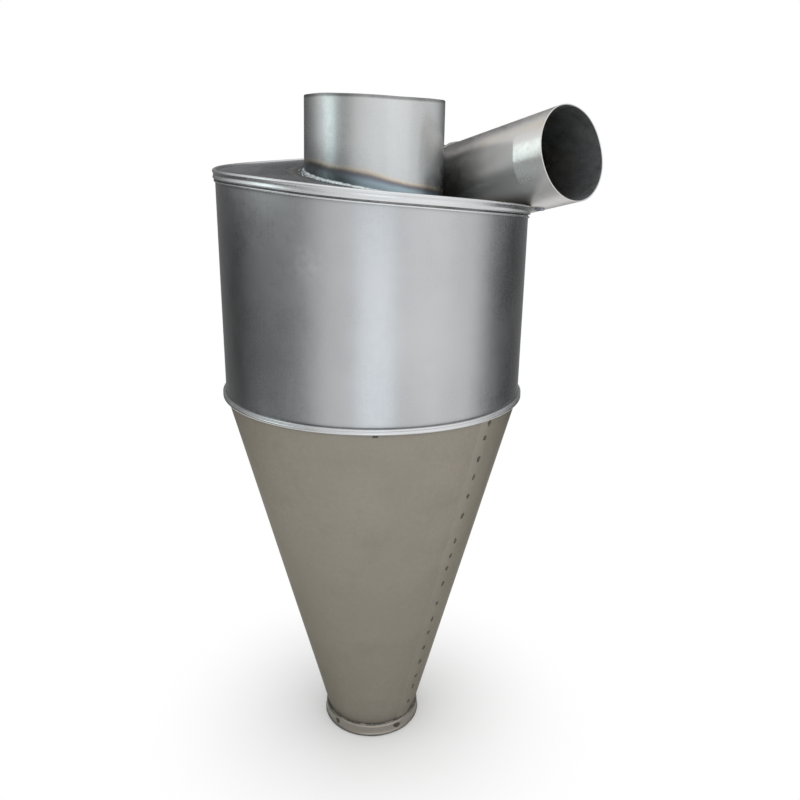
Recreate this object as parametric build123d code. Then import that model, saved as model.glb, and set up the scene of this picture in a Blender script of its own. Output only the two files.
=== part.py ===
"""Sheet-metal cyclone dust separator with a spiral roof and a round tangential inlet.

The frame's origin is the centre of the dust outlet's lower rim, +Z points up the cyclone's axis,
+X points to the side where the inlet pipe leaves and -Y is the front.
Angles in plan are counted from +X, anticlockwise seen from above. The roof falls that way,
from the top of the step behind the inlet pipe, once round, to the foot of the step.
"""

import os
from math import atan2, cos, degrees, radians, sin, tan

from build123d import *

os.makedirs("parts", exist_ok=True)

# Sheet and fits
barrel_sheet = 1.5
cone_sheet = 1.5
roof_sheet = 1.5
pipe_sheet = 1.5
collar_sheet = 1.5
step_sheet = 2.0
lap_sheet = 1.2
seat = 0.05            # room between curved faces that bear on each other

# Cone, radii to the outside of the sheet
cone_foot_radius = 71.0
cone_height = 538.0    # from the collar to the joint with the barrel

# Dust outlet collar
collar_radius = 75.0
collar_height = 18.0
collar_shoulder = 2.0  # height of the slope at the collar's top
collar_bead_out = 1.4  # how far the rolled foot stands out
collar_bead_height = 4.0

# Folded ring at the joint
flange_out = 3.0       # width of the turned-out edges that the ring clasps
ring_fold = 2.4        # thickness of the folded ring above and below them
ring_cover = 1.6       # thickness of the ring outside them

# Spiral roof and its folded edge
roof_front_rise = 277.5     # from the joint to the roof's top at the front
front_angle = 270.0
edge_out = 2.8              # how far the folds stand out from the barrel
roof_lip = 3.0              # how far the roof's fold stands above the roof
roof_fold_height = 8.4      # how far it reaches down from the roof's top
hem_height = 2.6
hem_out = 2.2
fold_groove = 1.6           # groove between the two folds
fold_round = 0.9            # bevel on their outer corners

# Gas outlet pipe
outlet_radius = 93.7
outlet_rise = 116.5         # above the roof's top at the front
outlet_depth = 118.5        # below the roof's top at the front, inside the barrel

# Inlet pipe
inlet_radius = 61.0
inlet_heading = -50.4       # plan direction from the barrel to the mouth
inlet_rise = 12.3           # slope of the pipe, in degrees
inlet_reach = 216.5         # from where it passes nearest to the barrel's axis to the mouth
inlet_stand = 3.4           # how far its top stands above the roof at the step
inlet_out = 6.7             # how far its outer side stands out from the barrel
inlet_dip = 26.0            # how much wider it is than the height that the roof loses in one turn
pipe_gap = 1.0              # room between it and the outlet pipe beside it
step_margin = 1.0           # width of the step plate around the inlet pipe
step_foot = 4.0             # how far the step plate reaches below the roof's low end

# Lap seams with spot welds, placed by the row of spots
lap_width = 24.0
lap_seat = 0.3              # room between a lap strip and the sheet under it
barrel_seam_angle = 95.0
cone_seam_angle = 318.5
spot_radius = 3.0
spot_proud = 0.4
spot_pitch = 30.0
spot_end = 10.0             # from the joint to the nearest spot
spot_inset = 7.0            # from the lap's edge to the row of spots

# Weld beads and the tacks that hold the collar
bead = 4.0
bead_hollow = 1.0           # thickness of a fillet at its middle
roof_bead_height = 2.8      # height of the beads beside the inlet pipe on the roof
seam_bead_width = 5.0
seam_bead_proud = 0.8
outlet_seam_angle = 100.0
tack_radius = 4.0
tack_proud = 0.8
tack_angles = (40.0, 130.0, 225.5, 304.5)
collar_seam_angle = 168.0

# Values that follow; the barrel is as wide as the two pipes side by side need,
# and the roof falls in one turn by the inlet pipe's width, less its dip
barrel_radius = outlet_radius + pipe_gap + 2 * inlet_radius - inlet_out
roof_drop = 2 * inlet_radius - inlet_dip
joint_height = collar_height + cone_height
roof_front_height = joint_height + roof_front_rise
outlet_top = roof_front_height + outlet_rise
outlet_foot = roof_front_height - outlet_depth
barrel_inside = barrel_radius - barrel_sheet
outlet_inside = outlet_radius - pipe_sheet
inlet_inside = inlet_radius - pipe_sheet
collar_inside = collar_radius - collar_sheet
inlet_offset = outlet_radius + pipe_gap + inlet_radius
edge_radius = barrel_radius + edge_out
cone_slope = atan2(barrel_radius - cone_foot_radius, joint_height - collar_height)
cone_wall = cone_sheet / cos(cone_slope)
step_angle = inlet_heading + 90
far = 3 * barrel_radius     # larger than anything that it cuts
overrun = 5.0               # how far a cutting shape runs past the wall that it cuts
spare_turn = 5.0            # angle that a spiral runs on beyond the step before it is cut there
plate_turn = degrees(2 * step_sheet / barrel_radius)   # angle that clears the step plate

heading = radians(inlet_heading)
along = Vector(cos(heading), sin(heading), 0)
across = Vector(-sin(heading), cos(heading), 0)
rise = radians(inlet_rise)
inlet_direction = Vector(along.X * cos(rise), along.Y * cos(rise), sin(rise))
step_frame = Plane(origin=(0, 0, 0), x_dir=across, z_dir=along)


def roof_top(angle):
    """Height of the roof's upper face at an angle in plan, counted on from the step."""
    return roof_front_height - roof_drop * (angle - front_angle) / 360


inlet_near_height = roof_top(step_angle) + inlet_stand - inlet_radius / cos(rise)
inlet_near_point = across * inlet_offset + Vector(0, 0, inlet_near_height)
inlet_frame = Plane(origin=inlet_near_point, x_dir=across, z_dir=inlet_direction)


def turned(outline):
    """Solid turned about the cyclone's axis from a closed outline of (radius, height) corners."""
    edges = Polyline([(radius, 0, height) for radius, height in outline], close=True)
    return revolve(make_face(edges), Axis.Z)


def tube(outer, inner, low, high):
    """Plain tube on the cyclone's axis."""
    return turned([(inner, low), (outer, low), (outer, high), (inner, high)])


def spiral(section, first_angle, last_angle):
    """Solid that follows the roof, from a section of (radius, height above the roof's top)."""
    height = roof_drop * (last_angle - first_angle) / 360
    rails = []
    for radius, level in section:
        helix = Helix(pitch=roof_drop, height=height, radius=radius, lefthand=True)
        place = Rot(0, 0, last_angle) * Pos(0, 0, roof_top(last_angle) + level)
        rails.append((place * helix).edge())
    sides = []
    for this, following in zip(rails, rails[1:] + rails[:1]):
        sides.append(Face.make_surface_from_curves(this, following))
    for end in (0, 1):
        corners = [rail.position_at(end) for rail in rails]
        sides.append(Face(Wire.make_polygon(corners, close=True)))
    return Solid(Shell(sides))


def above_roof(inner, outer, level):
    """Two half turns of the space above the roof's line, raised or lowered by a level."""
    height = 2 * roof_drop
    section = [(inner, level), (outer, level), (outer, level + height), (inner, level + height)]
    first = spiral(section, step_angle, step_angle + 180)
    second = spiral(section, step_angle + 180, step_angle + 360)
    return first, second


def filled_inlet(radius, start=0.0):
    """The inlet pipe's room as a solid rod, from the step plate's front face to the mouth."""
    length = inlet_reach + inlet_radius
    rod = Pos(0, 0, inlet_reach) * Cylinder(
        radius, length, align=(Align.CENTER, Align.CENTER, Align.MAX))
    front = Box(2 * far, 4 * far, far, align=(Align.CENTER, Align.CENTER, Align.MIN))
    return (inlet_frame * rod) & (step_frame * Pos(0, 0, step_sheet + start) * front)


def step_block(low, high, back, front):
    """Box beside the outlet pipe on the inlet's side, between two heights and two distances
    counted from the step plate's back face towards the mouth."""
    size = Box(far, high - low, front - back, align=(Align.MIN, Align.MIN, Align.MIN))
    return step_frame * Pos(0, low, back) * size


def ended_at_step(shape):
    """Ends a spiral solid at the step: its high end behind the plate, its low end before it."""
    middle = roof_top(step_angle + 180)
    high_end = step_block(middle, middle + far, -seat, far)
    low_end = step_block(middle - far, middle, -far, step_sheet + seat)
    return shape - high_end - low_end - filled_inlet(inlet_radius + seat)


def spiral_round(section):
    """Spiral solid that goes once round, from the step's top to its foot."""
    return ended_at_step(spiral(section, step_angle - spare_turn, step_angle + 360 + spare_turn))


def on_wall(radius, height, angle, slope=0.0):
    """Place on a wall of the cyclone whose local Z points out of the sheet."""
    return Rot(0, 0, angle) * Pos(radius, 0, height) * Rot(0, 90 + slope, 0)


def barrel_shell():
    top = roof_top(step_angle)
    outline = [
        (barrel_inside, joint_height),
        (barrel_radius + flange_out, joint_height),
        (barrel_radius + flange_out, joint_height + barrel_sheet),
        (barrel_radius, joint_height + barrel_sheet),
        (barrel_radius, top),
        (barrel_inside, top),
    ]
    shell = turned(outline)
    for space in above_roof(barrel_inside - overrun, barrel_radius + overrun, -roof_sheet - seat):
        shell -= space
    return shell - filled_inlet(inlet_radius + seat)


def cone_shell():
    top = joint_height - cone_sheet
    top_radius = barrel_radius - (joint_height - top) * tan(cone_slope)
    return turned([
        (cone_foot_radius - cone_wall, collar_height),
        (cone_foot_radius, collar_height),
        (top_radius, top),
        (barrel_radius + flange_out, top),
        (barrel_radius + flange_out, joint_height),
        (barrel_radius - cone_wall, joint_height),
    ])


def joint_ring():
    inner = barrel_radius + seat
    grip = barrel_radius + flange_out + seat
    outer = grip + ring_cover
    low = joint_height - cone_sheet - seat
    high = joint_height + barrel_sheet + seat
    bevel = ring_cover / 2
    return turned([
        (inner, high),
        (grip, high),
        (grip, low),
        (inner, low),
        (inner, low - ring_fold),
        (outer - bevel, low - ring_fold),
        (outer, low - ring_fold + bevel),
        (outer, high + ring_fold - bevel),
        (outer - bevel, high + ring_fold),
        (inner, high + ring_fold),
    ])


def dust_collar():
    bead_radius = collar_radius + collar_bead_out
    shoulder = collar_height - collar_shoulder
    lip = cone_foot_radius + collar_sheet
    roll = collar_bead_out / 2
    return turned([
        (collar_inside, 0),
        (bead_radius - roll, 0),
        (bead_radius, roll),
        (bead_radius, collar_bead_height - roll),
        (bead_radius - roll, collar_bead_height),
        (collar_radius, collar_bead_height),
        (collar_radius, shoulder),
        (lip, collar_height),
        (cone_foot_radius - cone_wall, collar_height),
        (cone_foot_radius - cone_wall, collar_height - collar_sheet),
        (lip - collar_sheet, collar_height - collar_sheet),
        (collar_inside, shoulder - collar_sheet / 2),
    ])


def cone_foot_weld():
    inner = cone_foot_radius + seat
    low = collar_height + seat
    return turned([
        (inner, low),
        (inner + collar_sheet, low),
        (cone_outside(low + collar_sheet) + 2 * seat, low + collar_sheet),
    ])


def collar_tacks():
    height = (collar_bead_height + collar_height - collar_shoulder) / 2
    disc = Cylinder(tack_radius, collar_sheet + tack_proud, align=(Align.CENTER, Align.CENTER, Align.MIN))
    collar = tube(collar_radius + seat, collar_inside - collar_sheet, 0, collar_height)
    tacks = []
    for angle in tack_angles:
        tacks.append(on_wall(collar_inside, height, angle) * disc - collar)
    return Compound(children=tacks)


def roof_plate():
    inner = outlet_radius + seat
    return spiral_round([(inner, 0), (barrel_radius, 0), (barrel_radius, -roof_sheet), (inner, -roof_sheet)])


def edge_fold(top, height, outer):
    """Folded band outside the barrel, with its top at a level below the roof's upper face."""
    inner = barrel_radius + seat
    return spiral_round([
        (inner, top),
        (outer - fold_round, top),
        (outer, top - fold_round),
        (outer, top - height + fold_round),
        (outer - fold_round, top - height),
        (inner, top - height),
    ])


def roof_edge_fold():
    return edge_fold(roof_lip, roof_lip + roof_fold_height, edge_radius)


def barrel_edge_hem():
    top = -seat - roof_fold_height - fold_groove
    return edge_fold(top, hem_height, barrel_radius + hem_out)


def step_plate():
    """Upright plate that closes the roof's step, with a round head about the inlet pipe."""
    low = roof_top(step_angle + 360) - roof_sheet - step_foot
    high = roof_top(step_angle)
    blank = step_frame * Pos(0, low, 0) * Box(
        edge_radius, high - low, step_sheet, align=(Align.MIN, Align.MIN, Align.MIN))
    slab = step_frame * Box(2 * far, 4 * far, step_sheet, align=(Align.CENTER, Align.CENTER, Align.MIN))
    head = inlet_frame * Cylinder(inlet_radius + step_margin, 2 * inlet_reach)
    above = Pos(0, 0, low) * Box(2 * far, 2 * far, far, align=(Align.CENTER, Align.CENTER, Align.MIN))
    plate = blank + (head & slab & above)
    gap = inlet_frame * Cylinder(inlet_inside, 2 * inlet_reach)
    gap = gap & Cylinder(barrel_inside, 4 * far)
    roofed = Box(2 * far, 2 * far, far, align=(Align.CENTER, Align.CENTER, Align.MAX))
    gap = gap & (Pos(0, 0, high - roof_sheet) * roofed)
    wall_top = roof_top(step_angle + 360 - plate_turn) - roof_sheet
    wall = tube(barrel_radius + seat, barrel_inside - seat, joint_height, wall_top)
    outside = tube(far, barrel_radius, joint_height, wall_top)
    return plate - gap - wall - outside - Cylinder(outlet_radius + seat, 4 * far)


def outlet_pipe():
    return tube(outlet_radius, outlet_inside, outlet_foot, outlet_top)


def outlet_foot_weld():
    inner = outlet_radius + seat
    middle = inner + bead_hollow
    return spiral_round([(inner, seat), (inner + bead, seat), (middle, bead_hollow), (inner, bead)])


def outlet_seam_weld():
    ring = tube(outlet_radius + seam_bead_proud, outlet_radius + seat, 0, outlet_top)
    low = roof_top(outlet_seam_angle) + 2 * bead
    strip = Box(far, seam_bead_width, outlet_top - low, align=(Align.MIN, Align.CENTER, Align.MIN))
    return ring & (Rot(0, 0, outlet_seam_angle) * Pos(0, 0, low) * strip)


def inlet_pipe():
    return filled_inlet(inlet_radius, seat) - inlet_frame * Cylinder(inlet_inside, 3 * inlet_reach)


def inlet_seam_weld():
    ring = filled_inlet(inlet_radius + seam_bead_proud, 2 * bead)
    ring -= inlet_frame * Cylinder(inlet_radius + seat, 3 * inlet_reach)
    strip = Box(far, seam_bead_width, far, align=(Align.MIN, Align.CENTER, Align.MIN))
    return ring & (inlet_frame * strip)


def inlet_end_weld():
    """Bead round the inlet pipe where it meets the step plate, above the roof's low end."""
    ring = filled_inlet(inlet_radius + bead, seat)
    ring = ring & step_block(roof_top(step_angle + 360) + bead, far * 2, 0, step_sheet + bead)
    ring -= inlet_frame * Cylinder(inlet_radius + seat, 3 * inlet_reach)
    return ring - Cylinder(outlet_radius + seat, 4 * far)


def inlet_roof_welds():
    """Beads along both sides of the inlet pipe where it runs into the roof's low end."""
    inner = outlet_radius + bead + 2 * seat
    top = roof_bead_height
    section = [(inner, seat), (barrel_radius, seat), (barrel_radius, top), (inner, top)]
    strip = spiral(section, step_angle + 180, step_angle + 360 + spare_turn)
    collar = filled_inlet(inlet_radius + bead, bead) - inlet_frame * Cylinder(
        inlet_radius + seat, 3 * inlet_reach)
    return strip & collar


def lap_box(angle, low, high):
    """Upright box that cuts a lap strip out of a band; its free edge is just past the spots."""
    strip = Box(far, lap_width, high - low, align=(Align.MIN, Align.MAX, Align.MIN))
    return Rot(0, 0, angle) * Pos(0, spot_inset, low) * strip


def barrel_lap_strip():
    top = roof_top(step_angle)
    inner = barrel_radius + lap_seat
    band = tube(inner + lap_sheet, inner, joint_height, top)
    low = joint_height + barrel_sheet + ring_fold + 2 * seat
    strip = band & lap_box(barrel_seam_angle, low, top)
    folds = roof_fold_height + fold_groove + hem_height + 2 * seat
    for space in above_roof(barrel_radius - overrun, barrel_radius + overrun, -folds):
        strip -= space
    return strip


def cone_outside(height):
    return cone_foot_radius + (height - collar_height) * tan(cone_slope)


def cone_lap_strip():
    low = collar_height + 2 * collar_sheet
    high = joint_height - cone_sheet - ring_fold - 2 * seat
    near = lap_seat / cos(cone_slope)
    away = (lap_seat + lap_sheet) / cos(cone_slope)
    band = turned([
        (cone_outside(low) + near, low),
        (cone_outside(low) + away, low),
        (cone_outside(high) + away, high),
        (cone_outside(high) + near, high),
    ])
    return band & lap_box(cone_seam_angle, 0, joint_height)


def spots_up(low, high, place):
    """Row of spot welds between two heights; place gives where the sheet is at a height."""
    disc = Cylinder(spot_radius, spot_proud, align=(Align.CENTER, Align.CENTER, Align.MIN))
    steps = round((high - low) / spot_pitch)
    heights = [low + (high - low) * number / steps for number in range(steps + 1)]
    lift = lap_seat + lap_sheet + seat
    return Compound(children=[place(height) * Pos(0, 0, lift) * disc for height in heights])


def cone_spot_welds():
    def place(height):
        return on_wall(cone_outside(height), height, cone_seam_angle, degrees(cone_slope))

    return spots_up(collar_height + spot_pitch, joint_height - spot_end, place)


def barrel_spot_welds():
    def place(height):
        return on_wall(barrel_radius, height, barrel_seam_angle)

    high = roof_top(barrel_seam_angle) - roof_fold_height - fold_groove - hem_height - spot_end
    return spots_up(joint_height + spot_pitch, high, place)


def collar_seam_weld():
    ring = tube(collar_radius + seam_bead_proud, collar_radius + seat, collar_bead_height + seat,
                collar_height - collar_shoulder)
    strip = Box(far, seam_bead_width, far, align=(Align.MIN, Align.CENTER, Align.MIN))
    return ring & (Rot(0, 0, collar_seam_angle) * strip)


pieces = {
    "barrel_shell": barrel_shell,
    "barrel_lap_strip": barrel_lap_strip,
    "barrel_spot_welds": barrel_spot_welds,
    "joint_ring": joint_ring,
    "cone_shell": cone_shell,
    "cone_lap_strip": cone_lap_strip,
    "cone_spot_welds": cone_spot_welds,
    "cone_foot_weld": cone_foot_weld,
    "dust_collar": dust_collar,
    "collar_tacks": collar_tacks,
    "collar_seam_weld": collar_seam_weld,
    "roof_plate": roof_plate,
    "roof_edge_fold": roof_edge_fold,
    "barrel_edge_hem": barrel_edge_hem,
    "step_plate": step_plate,
    "outlet_pipe": outlet_pipe,
    "outlet_foot_weld": outlet_foot_weld,
    "outlet_seam_weld": outlet_seam_weld,
    "inlet_pipe": inlet_pipe,
    "inlet_seam_weld": inlet_seam_weld,
    "inlet_end_weld": inlet_end_weld,
    "inlet_roof_welds": inlet_roof_welds,
}

for name, make in pieces.items():
    export_step(make(), f"parts/{name}.step")
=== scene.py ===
"""Looks of the sheet-steel cyclone dust separator, built around the frame of its solids."""

from math import atan2, cos, degrees, pi, radians, sin, sqrt, tan

import bpy
import numpy as np
from mathutils import Matrix, Vector

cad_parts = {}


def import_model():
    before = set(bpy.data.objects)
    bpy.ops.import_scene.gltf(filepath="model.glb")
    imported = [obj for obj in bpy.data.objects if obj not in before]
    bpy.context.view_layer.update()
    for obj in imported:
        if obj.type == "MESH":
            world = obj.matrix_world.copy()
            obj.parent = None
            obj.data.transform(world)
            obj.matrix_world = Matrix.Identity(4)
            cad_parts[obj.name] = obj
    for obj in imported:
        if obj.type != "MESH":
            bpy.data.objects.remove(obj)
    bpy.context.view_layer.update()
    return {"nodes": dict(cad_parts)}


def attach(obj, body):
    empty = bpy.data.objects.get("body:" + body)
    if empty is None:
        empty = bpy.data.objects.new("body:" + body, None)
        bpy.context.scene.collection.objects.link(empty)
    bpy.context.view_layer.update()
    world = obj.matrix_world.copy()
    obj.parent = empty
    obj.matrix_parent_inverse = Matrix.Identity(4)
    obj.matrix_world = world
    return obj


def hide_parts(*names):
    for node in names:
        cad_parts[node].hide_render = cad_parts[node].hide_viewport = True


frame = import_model()

# Sizes of the object in millimetres, as in its solids
MM = 0.001
SHEET = 1.5
STEP_SHEET = 2.0
SEAT = 0.05             # room between faces that bear on each other
OUTLET_R = 93.7
INLET_R = 61.0
PIPE_GAP = 1.0          # room between the two pipes
INLET_OUT = 6.7         # how far the inlet pipe stands out from the barrel
BARREL_R = OUTLET_R + PIPE_GAP + 2 * INLET_R - INLET_OUT
CONE_FOOT_R = 71.0
COLLAR_R = 75.0
COLLAR_H = 18.0
COLLAR_SHOULDER = COLLAR_H - 2.0
COLLAR_BEAD_R = COLLAR_R + 1.4
JOINT_Z = COLLAR_H + 538.0
FLANGE_R = BARREL_R + 3.0
RING_R = BARREL_R + 4.6
RING_FOLD = 2.4
EDGE_R = BARREL_R + 2.8
HEM_R = BARREL_R + 2.2
ROOF_LIP = 3.0
FOLD_FOOT = 8.4         # depths below the roof's top
HEM_TOP = FOLD_FOOT + 1.7
HEM_FOOT = HEM_TOP + 2.5
FRONT_ANGLE = 270.0
ROOF_FRONT_Z = JOINT_Z + 277.5
ROOF_DROP = 2 * INLET_R - 26.0
OUTLET_TOP = ROOF_FRONT_Z + 116.5
OUTLET_FOOT = ROOF_FRONT_Z - 118.5
INLET_HEADING = -50.4
INLET_RISE = 12.3
INLET_REACH = 216.5
INLET_STAND = 3.4
INLET_OFFSET = OUTLET_R + PIPE_GAP + INLET_R
STEP_ANGLE = INLET_HEADING + 90
LAP_SHEET = 1.2
LAP_SEAT = 0.3
CONE_SEAM = 318.5       # angles in plan of the long seams
BARREL_SEAM = 95.0
COLLAR_SEAM = 168.0
OUTLET_SEAM = 100.0
SPOT_HEIGHTS = (546, 524, 492, 464, 434, 402, 360, 334, 312, 284, 248, 218, 192, 162, 134, 104, 82, 50)
CONE_SLOPE = atan2(BARREL_R - CONE_FOOT_R, JOINT_Z - COLLAR_H)

# The inlet pipe's axis, and the directions along, across and above it
heading, rise = radians(INLET_HEADING), radians(INLET_RISE)
UP = np.array([0.0, 0.0, 1.0])
ALONG = np.array([cos(heading), sin(heading), 0.0])
ACROSS = np.array([-sin(heading), cos(heading), 0.0])
PIPE_DIR = ALONG * cos(rise) + UP * sin(rise)
PIPE_UP = np.cross(PIPE_DIR, ACROSS)


def roof_top(angle):
    """Height of the roof at an angle in plan that is counted on from the step."""
    return ROOF_FRONT_Z - ROOF_DROP * (angle - FRONT_ANGLE) / 360


INLET_NEAR_Z = roof_top(STEP_ANGLE) + INLET_STAND - INLET_R / cos(rise)
PIPE_NEAR = ACROSS * INLET_OFFSET + UP * INLET_NEAR_Z


def plan_angle(x, y):
    """Angle in plan, counted on from the step."""
    angle = np.degrees(np.arctan2(y, x))
    return (angle - STEP_ANGLE) % 360 + STEP_ANGLE


def outward_at(angle):
    """Level direction out from the axis at an angle in plan."""
    return np.array([cos(radians(angle)), sin(radians(angle)), 0.0])


def cone_radius(z):
    return CONE_FOOT_R + (z - COLLAR_H) * tan(CONE_SLOPE)


def cone_out(angle):
    """Direction straight out from the cone's wall."""
    return outward_at(angle) * cos(CONE_SLOPE) - UP * sin(CONE_SLOPE)


def clipped(value):
    """The value, held between nought and one."""
    return np.clip(value, 0, 1)


def hump(value, centre, width):
    """Soft rise to one about a centre."""
    return np.exp(-((value - centre) / width) ** 2)


def unit(vectors):
    vectors = np.asarray(vectors, float)
    return vectors / np.linalg.norm(vectors, axis=-1, keepdims=True)


def waves(a, b, seed, size, scales):
    """Smooth unevenness of a hand-worked sheet over two coordinates, about plus or minus size."""
    local = np.random.default_rng(seed)
    total = np.zeros(np.broadcast(a, b).shape)
    for fa, fb in scales:
        phase, other = local.uniform(0, 2 * pi, 2)
        total = total + np.sin(fa * a + fb * b + phase) * local.uniform(0.5, 1.0)
        total = total + np.sin(fa * a - fb * b + other) * local.uniform(0.3, 0.8)
    return total * size / (1.3 * len(scales))


# Mesh helpers

def add_piece(name, points, faces, slot, material, stands_for=(), heat=None, shade_and_soot=None, sharp=35):
    mesh = bpy.data.meshes.new(name)
    mesh.from_pydata((np.asarray(points).reshape(-1, 3) * MM).tolist(), [], faces)
    mesh.validate()
    mesh.polygons.foreach_set("use_smooth", [True] * len(mesh.polygons))
    mesh.set_sharp_from_angle(angle=radians(sharp))
    for title, values in (("heat_and_highlight_tint", heat), ("shade_and_soot", shade_and_soot)):
        if values is not None:
            layer = mesh.attributes.new(title, "FLOAT", "POINT")
            layer.data.foreach_set("value", np.asarray(values, np.float32).ravel())
    mesh.update()
    piece = bpy.data.objects.new(name, mesh)
    bpy.context.scene.collection.objects.link(piece)
    mesh.materials.append(material)
    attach(piece, "root")
    if stands_for:
        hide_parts(*stands_for)
    return piece


def add_weld(name, mesh, material, stands_for=()):
    add_piece(name, *mesh, "weld_metal", material, stands_for)


def grid_faces(rows, columns, wrap_rows=False, wrap_columns=True):
    """Quads over points stored row by row."""
    faces = []
    for i in range(rows if wrap_rows else rows - 1):
        here, following = i * columns, (i + 1) % rows * columns
        for j in range(columns if wrap_columns else columns - 1):
            beside = (j + 1) % columns
            faces.append((here + j, following + j, following + beside, here + beside))
    return faces


def tube_faces(rows, columns):
    """Quads round a tube stored section by section, with its flat ends."""
    faces = grid_faces(rows, columns)
    faces.append(tuple(range(columns)))
    faces.append(tuple(reversed(range((rows - 1) * columns, rows * columns))))
    return faces


def swept(outlines, angles, closed):
    """Points and faces of a closed outline of (radius, height) carried round the axis.
    outlines is an array of angles x corners x 2; open sweeps get flat ends."""
    outlines = np.asarray(outlines)
    turn = np.radians(np.asarray(angles))[:, None]
    radii, heights = outlines[..., 0], outlines[..., 1]
    points = np.stack([radii * np.cos(turn), radii * np.sin(turn), heights], -1)
    rows, columns = radii.shape
    faces = grid_faces(rows, columns, True) if closed else tube_faces(rows, columns)
    return points, faces


def rounded(corners, radii):
    """Closed outline of (radius, height) corners, each rounded by its own radius."""
    steps = 4
    corners = np.asarray(corners, float)
    out = []
    for i, here in enumerate(corners):
        last, following = corners[i - 1] - here, corners[(i + 1) % len(corners)] - here
        cut = min(radii[i], 0.49 * np.linalg.norm(last), 0.49 * np.linalg.norm(following))
        start, end = here + unit(last) * cut, here + unit(following) * cut
        for t in np.arange(steps + 1) / steps:
            out.append((1 - t) ** 2 * start + 2 * t * (1 - t) * here + t ** 2 * end)
    return np.array(out)


def resampled(points, step):
    """Points at even distances along a path, and those distances."""
    points = np.asarray(points, float)
    lengths = np.concatenate([[0], np.cumsum(np.linalg.norm(np.diff(points, axis=0), axis=1))])
    count = max(3, int(lengths[-1] / step) + 1)
    at = np.linspace(0, lengths[-1], count)
    return np.stack([np.interp(at, lengths, points[:, i]) for i in range(3)], -1), at


def bead_mesh(path, normal_of, half_width, height, sink, pitch, seed):
    """Rippled weld bead along a path; normal_of gives the direction it stands out in."""
    around, knot_pitch = 14, 4.0
    points, at = resampled(path, pitch / 5)
    local = np.random.default_rng(seed)
    tangents = unit(np.gradient(points, axis=0))
    normals = np.array([normal_of(p) for p in points])
    normals = unit(normals - (normals * tangents).sum(1)[:, None] * tangents)
    sides = np.cross(tangents, normals)
    knots = np.arange(0, at[-1] + 2 * knot_pitch, knot_pitch)
    swell = 1 + 0.15 * np.interp(at, knots, local.uniform(-1, 1, len(knots)))
    drift = 0.18 * half_width * np.interp(at, knots, local.uniform(-1, 1, len(knots)))
    # The bead swells and drifts a little, narrows at its ends, and has scale-like ripples on top
    ends = clipped(np.minimum(at, at[-1] - at) / (1.2 * half_width))
    ends = np.sqrt(1 - (1 - ends) ** 2) * 0.98 + 0.02
    lines = []
    for phi in np.linspace(0, 2 * pi, around, endpoint=False):
        up, out = sin(phi), cos(phi)
        phase = (at / pitch + 0.35 * out * out) % 1.0
        ripple = (0.16 * phase - 0.08) * max(up, 0)
        reach = height * swell * (up + ripple) if up > 0 else np.full(len(at), sink * up)
        wide = half_width * swell * out
        lines.append(points + normals * (reach * ends)[:, None] + sides * (wide * ends + drift)[:, None])
    return np.stack(lines, 1).reshape(-1, 3), tube_faces(len(at), around)


def blob(centre, out, along, half_out, half_along, half_across, seed):
    """Irregular flattened lens, for a tack, a spot weld or a drop of spatter."""
    rings, around, rim_depth = 7, 24, 0.35
    out = unit(out)
    along = np.asarray(along, float)
    along = unit(along - out * (along @ out))
    side = np.cross(out, along)
    local = np.random.default_rng(seed)
    phases, sizes = local.uniform(0, 2 * pi, 3), local.uniform(0.04, 0.12, 3)
    points = []
    for i in range(rings):
        lift, wide = cos(i / (rings - 1) * pi / 2), sin(i / (rings - 1) * pi / 2)
        dimple = -0.35 * max(0.0, 1 - wide * 2.2) if i < 3 else 0.0
        for phi in 2 * pi * np.arange(around) / around:
            edge = wide * (1 + sum(sizes[k] * sin((k + 2) * phi + phases[k]) for k in range(3)))
            points.append(centre + out * half_out * (lift + dimple) + along * half_along * edge * cos(phi)
                          + side * half_across * edge * sin(phi))
    points += [point - out * rim_depth for point in points[-around:]]
    faces = grid_faces(rings + 1, around)
    faces.append(tuple(reversed(range(around))))
    faces.append(tuple(range(rings * around, (rings + 1) * around)))
    return np.array(points), faces


def joined(parts):
    """One list of points and faces from several."""
    points, faces, start = [], [], 0
    for part_points, part_faces in parts:
        points.append(part_points)
        faces += [tuple(i + start for i in face) for face in part_faces]
        start += len(part_points)
    return np.concatenate(points), faces


# Materials

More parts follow.
